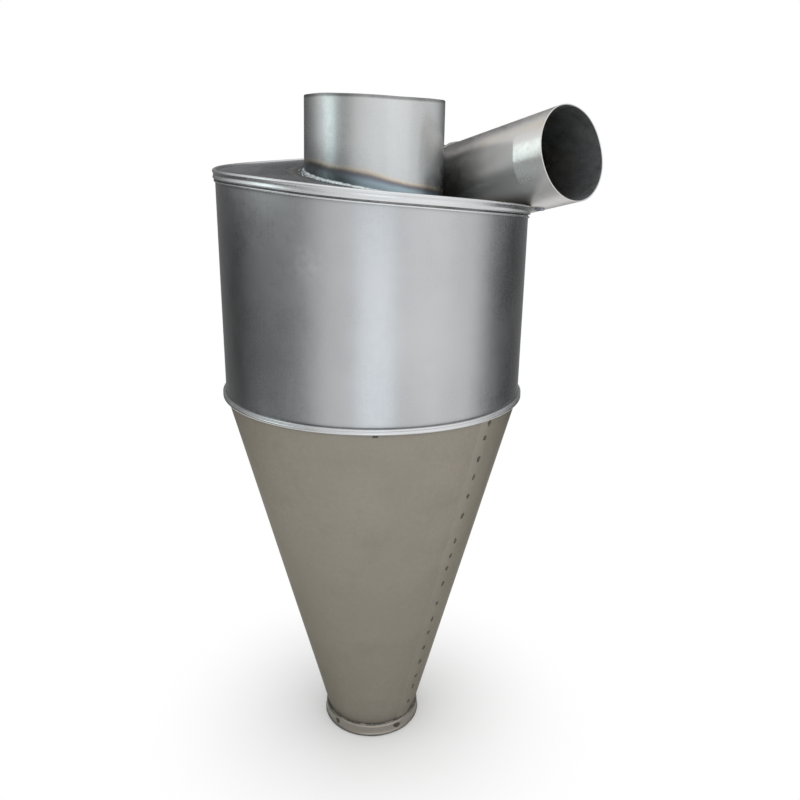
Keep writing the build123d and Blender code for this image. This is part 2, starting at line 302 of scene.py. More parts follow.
class Nodes:
    """Short way to write the nodes of a material or of the world."""

    def __init__(self, owner):
        self.owner = owner
        owner.use_nodes = True
        self.tree = owner.node_tree
        self.tree.nodes.clear()

    def node(self, kind, inputs=(), **settings):
        made = self.tree.nodes.new(kind)
        for key, value in settings.items():
            setattr(made, key, value)
        for key, value in dict(inputs).items():
            if isinstance(value, bpy.types.NodeSocket):
                self.tree.links.new(value, made.inputs[key])
            else:
                made.inputs[key].default_value = value
        return made

    def math(self, operation, a, b, clamp=False):
        return self.node("ShaderNodeMath", {0: a, 1: b}, operation=operation, use_clamp=clamp).outputs[0]

    def vector(self, operation, a, b=None):
        """Vector arithmetic; a length, a distance or a dot product comes out as a number."""
        inputs = {0: a} if b is None else {0: a, 1: b}
        outputs = self.node("ShaderNodeVectorMath", inputs, operation=operation).outputs
        return outputs["Value" if operation in ("LENGTH", "DISTANCE", "DOT_PRODUCT") else "Vector"]

    def span(self, value, low, high, to_low=0.0, to_high=1.0):
        inputs = {"Value": value, "From Min": low, "From Max": high, "To Min": to_low, "To Max": to_high}
        return self.node("ShaderNodeMapRange", inputs, interpolation_type="SMOOTHSTEP").outputs["Result"]

    def place(self):
        return self.node("ShaderNodeTexCoord").outputs["Object"]

    def attribute(self, name):
        return self.node("ShaderNodeAttribute", attribute_name=name).outputs["Fac"]

    def noise(self, vector, scale, detail=3.0, rough=0.55, distortion=0.0):
        return self.node("ShaderNodeTexNoise", {"Vector": vector, "Scale": scale, "Detail": detail,
                                                "Roughness": rough, "Distortion": distortion}).outputs["Fac"]

    def drawn_out(self, vector, stretch, detail, rough, distortion=0.0):
        """Noise that is stretched into lines."""
        return self.noise(self.vector("MULTIPLY", vector, stretch), 1.0, detail, rough, distortion)

    def mix(self, factor, a, b):
        return self.node("ShaderNodeMix", {0: factor, 6: a, 7: b}, data_type="RGBA").outputs[2]

    def ramp(self, value, stops):
        made = self.node("ShaderNodeValToRGB", {"Fac": value})
        elements = made.color_ramp.elements
        while len(elements) < len(stops):
            elements.new(0.5)
        for element, (position, colour) in zip(elements, stops):
            element.position = position
            element.color = colour
        return made.outputs["Color"]

    def bump(self, height, distance, strength=1.0, **normal):
        inputs = {"Height": height, "Distance": distance, "Strength": strength, **normal}
        return self.node("ShaderNodeBump", inputs).outputs[0]

    def glow(self, strength):
        return self.node("ShaderNodeEmission", {"Color": WHITE, "Strength": strength}).outputs[0]

    def seen_by(self):
        """Whether the camera sees a point itself, and whether metal or glass shows it."""
        rays = self.node("ShaderNodeLightPath").outputs
        mirrored = self.math("MAXIMUM", rays["Is Glossy Ray"], rays["Is Transmission Ray"])
        return rays["Is Camera Ray"], mirrored

    def output(self, surface, kind="ShaderNodeOutputMaterial"):
        self.node(kind, {"Surface": surface})
        return self.owner

    def metal(self, tone, rough, normal, metallic=1.0, **more):
        inputs = {"Base Color": tone, "Metallic": metallic, "Roughness": rough, "Normal": normal, **more}
        return self.output(self.node("ShaderNodeBsdfPrincipled", inputs).outputs[0])


def rgb(r, g, b):
    return (r, g, b, 1.0)


WHITE = rgb(1.0, 1.0, 1.0)
SPECK = rgb(0.05, 0.045, 0.04)
# Dark tone of the painted shade in crevices, under folds and inside the inlet's mouth, also used for the
# outlet pipe's soot
SHADE_AND_SOOT = rgb(0.045, 0.043, 0.04)
DUST = rgb(0.46, 0.39, 0.3)
RUBBED = rgb(0.62, 0.62, 0.6)

# Heat tints by how warm the steel was, then the tones of weld metal by its patches
GILDED = ((0.2, rgb(0.62, 0.56, 0.475)), (0.3, rgb(0.45, 0.4, 0.34)), (0.37, rgb(0.24, 0.21, 0.2)),
          (0.45, rgb(0.17, 0.185, 0.22)), (0.64, rgb(0.33, 0.42, 0.48)), (1.0, rgb(0.25, 0.33, 0.36)))
SOOTED = ((0.3, rgb(0.25, 0.24, 0.22)), (0.55, rgb(0.16, 0.155, 0.15)), (0.75, rgb(0.2, 0.24, 0.26)),
          (1.0, rgb(0.16, 0.21, 0.24)))
BLUED = ((0.3, rgb(0.2, 0.2, 0.21)), (0.45, rgb(0.1, 0.12, 0.15)), (0.55, rgb(0.34, 0.33, 0.31)),
         (0.66, rgb(0.14, 0.12, 0.1)), (0.8, rgb(0.06, 0.06, 0.065)))
BROWNED = ((0.3, rgb(0.2, 0.185, 0.16)), (0.45, rgb(0.09, 0.085, 0.075)), (0.58, rgb(0.27, 0.25, 0.22)),
           (0.8, rgb(0.07, 0.062, 0.055)))
FROSTED = ((0.3, rgb(0.3, 0.34, 0.36)), (0.45, rgb(0.62, 0.66, 0.67)), (0.58, rgb(0.4, 0.44, 0.46)),
           (0.7, rgb(0.74, 0.77, 0.77)), (0.82, rgb(0.2, 0.25, 0.28)))
BURNT = ((0.3, rgb(0.05, 0.045, 0.038)), (0.55, rgb(0.09, 0.078, 0.062)), (0.75, rgb(0.16, 0.145, 0.125)))

CREASE_AT = 168.5 * MM
CREASE_SLOPE = 0.2


def beside_pipe(s, place):
    """Place counted from the inlet pipe's near point, and how far along the pipe it lies, in metres."""
    moved = s.vector("SUBTRACT", place, tuple(PIPE_NEAR * MM))
    return moved, s.vector("DOT_PRODUCT", moved, tuple(PIPE_DIR))


def creased(s, place, soft):
    """The surface's direction with the inlet pipe's shallow crease, and how far the crease holds."""
    moved, reach = beside_pipe(s, place)
    high = s.vector("DOT_PRODUCT", moved, tuple(PIPE_UP / INLET_R / MM))
    tilted = s.bump(s.math("MULTIPLY", reach, -CREASE_SLOPE), 1.0)
    window = s.math("MULTIPLY", s.span(high, 0.52, 0.34), s.span(high, -0.75, -0.1))
    ended = s.math("MULTIPLY", s.span(reach, CREASE_AT - MM, CREASE_AT + 2.5 * MM), window)
    turned = s.node("ShaderNodeMix", {0: ended, 4: soft, 5: tilted}, data_type="VECTOR").outputs[1]
    return s.vector("NORMALIZE", turned), ended


def rubbed_patch(s, place, centre):
    """How far the steel is rubbed pale about a point."""
    near = s.span(s.vector("DISTANCE", place, centre), 0.03, 0.004)
    return s.math("MULTIPLY", near, s.span(s.noise(place, 110.0), 0.3, 0.7, 0.0, 0.4))


def steel(name, colour, tint, roughness, stretch, heat=None, tints=GILDED, blotch=0.12, wave=0.3,
          scratch=0.3, mottle=0.0, grainy=0.12, edge=WHITE, crease=False, metallic=1.0, smudge=None):
    """Sheet steel: uneven tone, a fine grain, scratches, slight waves, and heat tints where heat says."""
    s = Nodes(bpy.data.materials.new(name))
    place = s.place()
    broad = s.noise(place, 5.0, 4.0, 0.6)
    cloud = s.noise(place, 22.0, 5.0, 0.65, 0.6)
    fine = s.noise(place, 160.0, 2.0, 0.6)
    grain = s.drawn_out(place, stretch, 2.0, 0.6)
    streak = s.drawn_out(place, tuple(v * 0.12 for v in stretch), 3.0, 0.5, 0.3)
    cuts = s.drawn_out(place, tuple(v * 0.5 for v in reversed(stretch)), 2.0, 0.4)

    # Broad patches, darker clouds, brighter streaks and specks
    tone = s.mix(s.span(broad, 0.35, 0.68), colour, tint)
    shaded = rgb(colour[0] * 0.45, colour[1] * 0.43, colour[2] * 0.4)
    tone = s.mix(s.span(cloud, 0.48, 0.75, 0.0, blotch), tone, shaded)
    bright = rgb(*(min(1.0, c * 1.35) for c in colour[:3]))
    tone = s.mix(s.span(streak, 0.55, 0.75, 0.0, blotch * 0.8), tone, bright)
    if smudge:
        tone = s.mix(rubbed_patch(s, place, smudge), tone, RUBBED)
    dots = s.node("ShaderNodeTexVoronoi", {"Vector": place, "Scale": 260.0}, feature="F1")
    small = s.span(dots.outputs["Distance"], 0.16, 0.08)
    some = s.span(cloud, 0.56, 0.7, 0.0, min(0.14, blotch))
    tone = s.mix(s.math("MULTIPLY", small, some), tone, SPECK)

    # Roughness, then heat tints, then painted shade and soot, and dust over them
    rough = s.math("ADD", s.span(broad, 0.3, 0.7, roughness - 0.05, roughness + 0.05),
                   s.span(fine, 0.3, 0.7, -0.25 * grainy, 0.4 * grainy))
    rough = s.math("ADD", rough, s.span(grain, 0.35, 0.65, -0.25 * grainy, 0.25 * grainy))
    if heat is not None:
        warm = s.math("ADD", heat(s), s.span(cloud, 0.3, 0.7, -0.035, 0.035))
        warm = s.math("ADD", warm, s.span(broad, 0.3, 0.7, -0.04, 0.04))
        heated = s.span(warm, 0.02, 0.3)
        tinted = s.ramp(warm, [(0.03, colour), *tints])
        tone = s.mix(s.math("MULTIPLY", heated, 0.95), tone, tinted)
        rough = s.math("ADD", rough, s.math("MULTIPLY", heated, 0.1))
    # Painted shade: the point attribute darkens crevices, the undersides of folds and the inlet's mouth; on
    # the outlet pipe it also holds real soot
    shade_and_soot_amount = s.math("MULTIPLY", s.attribute("shade_and_soot"), s.span(cloud, 0.25, 0.7, 0.65, 1.0))
    tone = s.mix(s.math("MULTIPLY", shade_and_soot_amount, 0.88, True), tone, SHADE_AND_SOOT)
    if mottle:
        patches = s.span(s.noise(place, 70.0, 6.0, 0.7, 1.0), 0.52, 0.68, 0.0, mottle)
        tone = s.mix(patches, tone, DUST)

    # Slight waves of the sheet, the crease, the grain and the scratches
    soft = s.bump(broad, 0.004 * wave)
    if crease:
        soft, ended = creased(s, place, soft)
        rough = s.math("SUBTRACT", rough, s.math("MULTIPLY", ended, 0.08))
    height = s.math("ADD", s.math("MULTIPLY", grain, 0.6), s.math("MULTIPLY", fine, 0.05))
    height = s.math("SUBTRACT", height, s.span(cuts, 0.66, 0.7, 0.0, scratch))
    normal = s.bump(height, 0.0001, grainy, Normal=soft)
    return s.metal(tone, rough, normal, metallic, **{"Specular Tint": edge})


def heat_on_piece(s):
    return s.attribute("heat_and_highlight_tint")


def heat_on_roof(s):
    """Heat beside the outlet pipe's foot and beside the inlet pipe."""
    place = s.place()
    from_axis = s.vector("LENGTH", s.vector("MULTIPLY", place, (1.0, 1.0, 0.0)))
    foot = s.math("MULTIPLY", s.span(from_axis, (OUTLET_R + 30) * MM, (OUTLET_R - 6) * MM), 0.95)
    moved, reach = beside_pipe(s, place)
    from_pipe = s.vector("LENGTH", s.vector("CROSS_PRODUCT", moved, tuple(PIPE_DIR)))
    beside = s.math("MULTIPLY", s.span(from_pipe, (INLET_R + 14) * MM, (INLET_R + 1) * MM),
                    s.span(reach, -0.004, 0.002))
    return s.math("MAXIMUM", foot, beside)


def weld_steel(name, stops):
    """Weld metal, either blued, browned or frosted pale, over bright ripples."""
    s = Nodes(bpy.data.materials.new(name))
    place = s.place()
    tone = s.ramp(s.noise(place, 60.0, 4.0, 0.6, 0.5), stops)
    fine = s.noise(place, 900.0, 3.0, 0.6)
    return s.metal(tone, s.span(fine, 0.3, 0.7, 0.3, 0.5), s.bump(fine, 0.00015, 0.5))


def burnt_steel(name):
    """Dark, scaled spots that spot welding leaves."""
    s = Nodes(bpy.data.materials.new(name))
    patches = s.noise(s.place(), 240.0, 4.0, 0.6, 0.4)
    rough = s.span(patches, 0.3, 0.7, 0.45, 0.7)
    return s.metal(s.ramp(patches, BURNT), rough, s.bump(patches, 0.0002, 0.6), 0.7)


UPRIGHT = (700.0, 700.0, 14.0)
ROUND = (18.0, 18.0, 900.0)
ACROSS_ROOF = (60.0, 260.0, 260.0)
EVEN = (90.0, 90.0, 90.0)
barrel_steel = steel("barrel_steel", rgb(0.402, 0.41, 0.422), rgb(0.452, 0.457, 0.468), 0.28, UPRIGHT,
                     blotch=0.05, scratch=0.0, grainy=0.05, smudge=(-0.072, -0.197, 0.754))
cone_steel = steel("cone_steel", rgb(0.283, 0.264, 0.22), rgb(0.32, 0.294, 0.254), 0.45, UPRIGHT,
                   blotch=0.1, edge=rgb(0.48, 0.48, 0.45))
roof_steel = steel("roof_steel", rgb(0.36, 0.375, 0.385), rgb(0.4, 0.41, 0.42), 0.34, ACROSS_ROOF,
                   heat=heat_on_roof, tints=SOOTED, blotch=0.15, edge=rgb(0.8, 0.8, 0.8))
fold_steel = steel("fold_steel", rgb(0.57, 0.58, 0.59), rgb(0.62, 0.625, 0.63), 0.3, ROUND,
                   wave=0.1, scratch=0.1, grainy=0.1, blotch=0.06)
collar_steel = steel("collar_steel", rgb(0.27, 0.245, 0.21), rgb(0.34, 0.315, 0.28), 0.4, ROUND,
                     blotch=0.2, grainy=0.15)
outlet_steel = steel("outlet_steel", rgb(0.48, 0.5, 0.51), rgb(0.53, 0.54, 0.54), 0.25, UPRIGHT,
                     heat=heat_on_piece, blotch=0.06, scratch=0.1, grainy=0.06)
inlet_steel = steel("inlet_steel", rgb(0.6, 0.59, 0.575), rgb(0.63, 0.61, 0.58), 0.36, EVEN,
                    heat=heat_on_piece, blotch=0.03, scratch=0.0, grainy=0.08, crease=True, metallic=0.88)
inlet_inside = steel("inlet_inside", rgb(0.62, 0.67, 0.72), rgb(0.48, 0.46, 0.43), 0.4, EVEN,
                     heat=heat_on_piece, blotch=0.3, mottle=0.7, metallic=0.92)
weld_metal = weld_steel("weld_metal", BLUED)
brown_weld = weld_steel("brown_weld", BROWNED)
pale_weld = weld_steel("pale_weld", FROSTED)
spot_marks = burnt_steel("spot_marks")

# Barrel wall, whose top follows the roof and makes room for the inlet pipe at the roof's low end

def pipe_under(angle, radius, clearance):
    """Lowest height at which the inlet pipe passes a wall point, or None where it doesn't."""
    place = outward_at(angle) * radius
    if place @ ALONG < STEP_SHEET:
        return None
    x, y = (place - PIPE_NEAR)[:2]
    dx, dy, dz = PIPE_DIR
    flat = x * dx + y * dy
    a = 1 - dz * dz
    b = -2 * flat * dz
    c = x * x + y * y - flat * flat - (INLET_R + clearance) ** 2
    inside = b * b - 4 * a * c
    return None if inside < 0 else PIPE_NEAR[2] + (-b - sqrt(inside)) / (2 * a)


def wall_top(angle):
    top = roof_top(angle) - SHEET - SEAT
    under = pipe_under(angle, BARREL_R, SEAT) if angle > STEP_ANGLE + 180 else None
    return top if under is None else min(top, under)


def barrel_wall():
    fine_from = STEP_ANGLE + 280
    angles = np.concatenate([np.linspace(STEP_ANGLE, fine_from, 281),
                             np.linspace(fine_from + 0.25, STEP_ANGLE + 360, 320)])
    foot = [(BARREL_R - SHEET, JOINT_Z), (FLANGE_R, JOINT_Z), (FLANGE_R, JOINT_Z + SHEET),
            (BARREL_R + 0.8, JOINT_Z + SHEET), (BARREL_R, JOINT_Z + SHEET + 0.8)]
    outlines, shade_and_soot_amount = [], []
    for angle in angles:
        # Rows of points lie close together where painted shade darkens the wall, over the ring and under the
        # hem
        top = wall_top(angle)
        z = np.concatenate([JOINT_Z + np.array([3.0, 4.2, 5.0, 6.0, 7.5, 10.0]),
                            np.linspace(JOINT_Z + 16, top - 32, 24),
                            top - np.array([24.0, 19.0, 17.0, 15.5, 14.2, 13.2, 12.2, 11.2, 9.0, 7.0, 0.0])])
        bow = waves(np.radians(angle), z / 60, 3, 0.28, [(2, 0.6), (3, 1.0), (5, 1.4), (8, 0.7)])
        bow = bow * clipped((z - JOINT_Z) / 40) * clipped((top - 10 - z) / 40)
        outer = np.stack([BARREL_R + bow, z], -1)
        outlines.append(np.concatenate([foot, outer, outer[::-1] - (SHEET, 0)]))
        # Painted shade: a dark line under the hem, full dark behind the hem and fold, and a dark line just
        # over the ring
        shade_under_hem = 0.3 * np.exp(-np.maximum(top - 11.4 - z, 0) / 1.2)
        shade_under_hem = np.where(z > top - 10.2, 1.0, shade_under_hem)
        shade_over_ring = 0.8 * np.exp(-np.maximum(z - JOINT_Z - 4.4, 0) / 1.2)
        shade_and_soot_amount.append(np.concatenate([np.zeros(len(foot)), clipped(shade_under_hem + shade_over_ring), np.zeros(len(z))]))
    add_piece("barrel_wall", *swept(outlines, angles, False), "barrel_steel", barrel_steel,
              ["barrel_shell"], shade_and_soot=shade_and_soot_amount)


# Cone wall

def cone_wall():
    angles = np.linspace(0, 360, 361)[:-1]
    thick = SHEET / cos(CONE_SLOPE)
    head = [(BARREL_R - 0.3, JOINT_Z - SHEET), (FLANGE_R, JOINT_Z - SHEET), (FLANGE_R, JOINT_Z),
            (BARREL_R - thick, JOINT_Z)]
    z = np.concatenate([[COLLAR_H, 20.0, 21.5, 23.5, 26.5, 31.0], np.linspace(40, JOINT_Z - 30, 34),
                        JOINT_Z - np.array([20.0, 13.0, 9.0, 7.0, 5.8, 5.0, 4.0])])
    # Painted shade on the cone just above the collar and just under the ring; also a darker band beside the
    # lap seam
    shade_near_joints = 0.55 * np.exp(-(z - COLLAR_H) / 9.0) + 0.75 * np.exp(-(JOINT_Z - 4.0 - z) / 2.2)
    outlines, shade_and_soot_amount = [], []
    for angle in angles:
        bow = waves(np.radians(angle), z / 70, 5, 0.3, [(2, 0.8), (3, 1.1), (5, 0.6), (7, 1.7)])
        bow = bow * clipped((z - COLLAR_H) / 60) * clipped((JOINT_Z - 8 - z) / 40)
        outer = np.stack([cone_radius(z) + bow, z], -1)
        outlines.append(np.concatenate([outer, head, outer[::-1] - (thick, 0)]))
        darker_beside_lap = 0.34 * hump(angle, 338, 13) * clipped((z - 180) / 260)
        shade_and_soot_amount.append(np.concatenate([shade_near_joints + darker_beside_lap, np.zeros(len(head) + len(z))]))
    add_piece("cone_wall", *swept(outlines, angles, True), "cone_steel", cone_steel, ["cone_shell"],
              shade_and_soot=shade_and_soot_amount)


# Folded ring at the joint: two rolled lips with a groove between them

def ring():
    angles = np.linspace(0, 360, 721)[:-1]
    above, below = JOINT_Z + SHEET + SEAT, JOINT_Z - SHEET - SEAT
    high, low = above + RING_FOLD, below - RING_FOLD
    inner, clasp, middle = BARREL_R + SEAT, FLANGE_R + 0.1, JOINT_Z + 0.4
    corners = [(inner, high), (inner, above), (clasp, above), (clasp, below), (inner, below), (inner, low),
               (RING_R - 1.5, low), (RING_R - 0.1, low + 1.1), (RING_R, middle - 1.4),
               (RING_R - 1.1, middle), (RING_R, middle + 1.4), (RING_R - 0.3, high - 0.6),
               (RING_R - 2.0, high)]
    base = rounded(corners, [0.2] * 5 + [0.4, 1.2, 1.2, 1.0, 0.7, 1.0, 1.1, 1.0])
    shown = clipped((base[:, 0] - inner - 1.5) / 1.5)
    outlines = []
    for angle in angles:
        out = base.copy()
        uneven = waves(np.radians(angle), base[:, 1] * 0.2, 11, 0.22, [(5, 1), (11, 0.5), (23, 0.3)])
        out[:, 0] -= np.abs(uneven) * shown
        outlines.append(out)
    add_piece("joint_fold", *swept(outlines, angles, True), "fold_steel", fold_steel, ["joint_ring"])


# Roof's rim: the roof sheet rolled over the barrel's edge, and the barrel's own hem under it

def rim_angles():
    """Angles of the rim, which stops where the inlet pipe passes over it."""
    kept = []
    for angle in np.linspace(STEP_ANGLE, STEP_ANGLE + 360, 1081):
        under = pipe_under(angle, EDGE_R, 0.1) if angle > STEP_ANGLE + 180 else None
        if under is None or under >= roof_top(angle):
            kept.append(angle)
    return np.array(kept)


def rim(name, corners, radii, seed, stands_for, shade_and_soot):
    """Rim piece from a section of (radius, height from the roof); the last argument gives the painted shade
    at such a point.
    """
    base = rounded(corners, radii)
    angles = rim_angles()
    own_shade = np.array([shade_and_soot(radius, level) for radius, level in base])
    outlines, shade_and_soot_amount = [], []
    for angle in angles:
        out = base.copy()
        uneven = waves(np.radians(angle), base[:, 1] * 0.12, seed, 0.2, [(4, 1), (9, 0.5), (17, 0.3)])
        out[:, 0] -= np.abs(uneven) * clipped((base[:, 0] - BARREL_R - 0.8) / 1.2)
        high_at_left = 1.9 * hump(angle, 232, 26)
        out[:, 1] += roof_top(angle) + high_at_left + 0.15 * np.sin(np.radians(angle) * 6 + seed)
        outlines.append(out)
        # The rim is also painted darker near the step, where it starts
        shade_and_soot_amount.append(np.maximum(own_shade, 0.8 * np.exp(-(angle - STEP_ANGLE) / 14)))
    add_piece(name, *swept(outlines, angles, False), "fold_steel", fold_steel, stands_for, shade_and_soot=shade_and_soot_amount)


def fold_shade(radius, level):
    """Painted shade on the fold's underside and in the corner where it meets the roof."""
    return 0.9 if level < -FOLD_FOOT + 0.2 or radius < BARREL_R - 2.0 and level < 0.6 else 0.0


def hem_shade(radius, level):
    """Painted shade on the hem's top, inside the gap."""
    return 0.9 if level > -HEM_TOP - 0.2 else 0.0


def roof_rim():
    wall = BARREL_R + 0.1
    rim("roof_rim",
        [(BARREL_R - 2.6, -0.4), (BARREL_R - 2.8, ROOF_LIP - 1.4), (BARREL_R - 1.5, ROOF_LIP),
         (EDGE_R - 0.8, ROOF_LIP), (EDGE_R + 0.9, ROOF_LIP - 2.2), (EDGE_R - 0.2, -1.4),
         (EDGE_R - 0.7, -3.4), (EDGE_R - 0.3, -5.4), (EDGE_R + 0.4, -FOLD_FOOT + 1.2),
         (EDGE_R - 0.6, -FOLD_FOOT), (wall, -FOLD_FOOT), (wall, -0.4)],
        [0.1, 1.0, 1.1, 1.5, 1.9, 1.2, 1.2, 1.2, 1.1, 0.7, 0.1, 0.1], 21, ["roof_edge_fold"], fold_shade)
    rim("barrel_hem",
        [(wall, -HEM_TOP), (HEM_R - 0.8, -HEM_TOP), (HEM_R - 0.1, -HEM_TOP - 0.9),
         (HEM_R - 0.6, -HEM_FOOT + 0.2), (wall, -HEM_FOOT)],
        [0.1, 0.6, 0.8, 0.8, 0.1], 22, ["barrel_edge_hem"], hem_shade)


# Dust outlet collar, with its welds and tacks

# Angle in plan, half height and half width of each tack
TACKS = ((40, 4.2, 4.4), (130, 4.0, 4.0), (225.5, 4.6, 4.2), (304.5, 4.4, 6.0))


def collar():
    angles = np.linspace(0, 360, 361)[:-1]
    throat = CONE_FOOT_R - SHEET / cos(CONE_SLOPE)
    under = COLLAR_H - SHEET
    corners = [(COLLAR_R - SHEET, 0), (COLLAR_BEAD_R - 0.6, 0), (COLLAR_BEAD_R, 1.2),
               (COLLAR_BEAD_R - 0.2, 3.2), (COLLAR_R + 0.1, 4.4), (COLLAR_R - 0.35, 7.5),
               (COLLAR_R - 0.3, 12.5), (COLLAR_R, COLLAR_SHOULDER), (CONE_FOOT_R + SHEET, COLLAR_H),
               (throat, COLLAR_H), (throat, under), (CONE_FOOT_R, under),
               (COLLAR_R - SHEET, COLLAR_SHOULDER - 0.75)]
    base = rounded(corners, [0.3, 0.6, 1.1, 1.1, 0.8, 2.0, 2.0, 0.9, 0.5, 0.1, 0.2, 0.4, 0.4])
    # Painted shade: a dark contact shadow along the foot, and darker on the rolled bead's outer side
    floor_contact_shade = 0.9 * clipped((3.0 - base[:, 1]) / 1.2)
    bead_shade = 0.5 * clipped((base[:, 0] - COLLAR_R - 0.4) / 0.6)
    shaded = np.maximum(floor_contact_shade, bead_shade) * (base[:, 0] > COLLAR_R - 0.8)
    outlines = []
    for angle in angles:
        out = base.copy()
        uneven = waves(np.radians(angle), base[:, 1] * 0.1, 31, 0.3, [(3, 1), (7, 0.7), (15, 0.4)])
        out[:, 0] -= np.abs(uneven) * clipped((COLLAR_H - 1.5 - base[:, 1]) / 3)
        outlines.append(out)
    add_piece("collar", *swept(outlines, angles, True), "collar_steel", collar_steel, ["dust_collar"],
              shade_and_soot=[shaded] * len(angles))


def outward(up=0.0):
    """Gives the direction out from the axis, tilted up or down."""
    return lambda point: unit([point[0], point[1], 0.0]) + UP * up


def upright_run(angle, radius, low, high, count):
    """Points straight up beside the axis."""
    return [outward_at(angle) * radius + UP * z for z in np.linspace(low, high, count)]


def collar_marks():
    foot = [outward_at(angle) * (CONE_FOOT_R + 0.9) + UP * (COLLAR_H + 0.6) for angle in np.arange(361)]
    add_weld("collar_weld", bead_mesh(foot, outward(1.0), 1.5, 0.9, 0.9, 2.4, 41), brown_weld,
             ["cone_foot_weld"])
    parts = []
    for k, (angle, high, wide) in enumerate(TACKS):
        out = outward_at(angle)
        parts.append(blob(out * (COLLAR_R - 0.35) + UP * 10.5, out, UP, 0.9, high, wide, 50 + k))
    add_weld("collar_tack_welds", joined(parts), spot_marks, ["collar_tacks"])
    seam = upright_run(COLLAR_SEAM, COLLAR_R - 0.3, 4.6, COLLAR_H - 2.4, 12)
    add_weld("collar_joint_weld", bead_mesh(seam, outward(), 2.3, 0.8, 0.5, 1.8, 60), weld_metal,
             ["collar_seam_weld"])


# Spot welds up the two lap seams, and the burn mark under the ring

def add_spots(name, parts, stands_for=()):
    add_piece(name, *joined(parts), "spot_marks", spot_marks, stands_for)


def seam_spots():
    rng = np.random.default_rng(7)
    proud = LAP_SEAT + LAP_SHEET + 0.15
    parts = []
    for k, z in enumerate(SPOT_HEIGHTS):
        angle = CONE_SEAM + rng.uniform(-0.25, 0.25)
        up = outward_at(angle) * sin(CONE_SLOPE) + UP * cos(CONE_SLOPE)
        centre = outward_at(angle) * (cone_radius(z) + proud) + UP * z
        half_high, half_wide = rng.uniform(3.5, 5.2), rng.uniform(2.5, 3.4)
        parts.append(blob(centre, cone_out(angle), up, 0.42, half_high, half_wide, 100 + k))
    add_spots("cone_seam_spots", parts, ["cone_spot_welds"])
    parts = []
    out = outward_at(BARREL_SEAM)
    lowest, highest = JOINT_Z + 28, roof_top(BARREL_SEAM) - 24
    for k, z in enumerate(np.linspace(lowest, highest, 9)):
        centre = out * (BARREL_R + proud) + UP * (z + rng.uniform(-2, 2))
        half_high, half_wide = rng.uniform(2.4, 3.6), rng.uniform(1.8, 2.5)
        parts.append(blob(centre, out, UP, 0.42, half_high, half_wide, 140 + k))
    add_spots("barrel_seam_spots", parts, ["barrel_spot_welds"])
    burnt_at, burnt_z = 273, 549.0
    centre = outward_at(burnt_at) * (cone_radius(burnt_z) + 0.1) + UP * burnt_z
    mark = blob(centre, cone_out(burnt_at), outward_at(burnt_at - 90), 0.3, 4.2, 1.7, 170)
    add_spots("ring_burn_mark", [mark])


def cone_lap():
    """Edge of the sheet that laps over at the right of the spots; it fades into the cone at its left."""
    left, right = -17.0, 5.8
    steps_across = np.concatenate([np.linspace(left, right, 16), [6.4, 6.9, 7.0]])
    rows = []
    for z in np.linspace(COLLAR_H + 2 * SHEET, JOINT_Z - SHEET - 2.6, 90):
        radius = cone_radius(z)
        over, under = [], []
        for across in steps_across:
            direction = outward_at(CONE_SEAM + degrees(across / radius))
            risen = clipped((across - left) / 14)
            bent_in = 0.25 * (across - right - 0.1) ** 2 if across > right + 0.1 else 0.0
            wobble = 0.12 * sin(z / 19.0 + across * 0.2) * (across > 0)
            out = -0.15 + (0.15 + LAP_SEAT) * risen + LAP_SHEET * risen ** 0.7 - bent_in + wobble
            over.append(direction * (radius + out) + UP * z)
            under.append(direction * (radius - 0.4) + UP * z)
        rows.append(over + under[::-1])
    faces = tube_faces(len(rows), len(rows[0]))
    add_piece("cone_lap_edge", rows, faces, "cone_steel", cone_steel, ["cone_lap_strip"], sharp=50)


# Gas outlet pipe, with a slightly uneven mouth and heat tints above its foot

# How far its rim lies low at angles in plan
MOUTH_DIPS = ((0, 3.4), (60, 2.4), (120, 1.2), (180, 0.2), (200, 0.4), (225, 1.6), (250, 3.6), (270, 5.3),
              (290, 6.0), (310, 6.4), (330, 5.4), (360, 3.4))
SOOT_ANGLE = 222


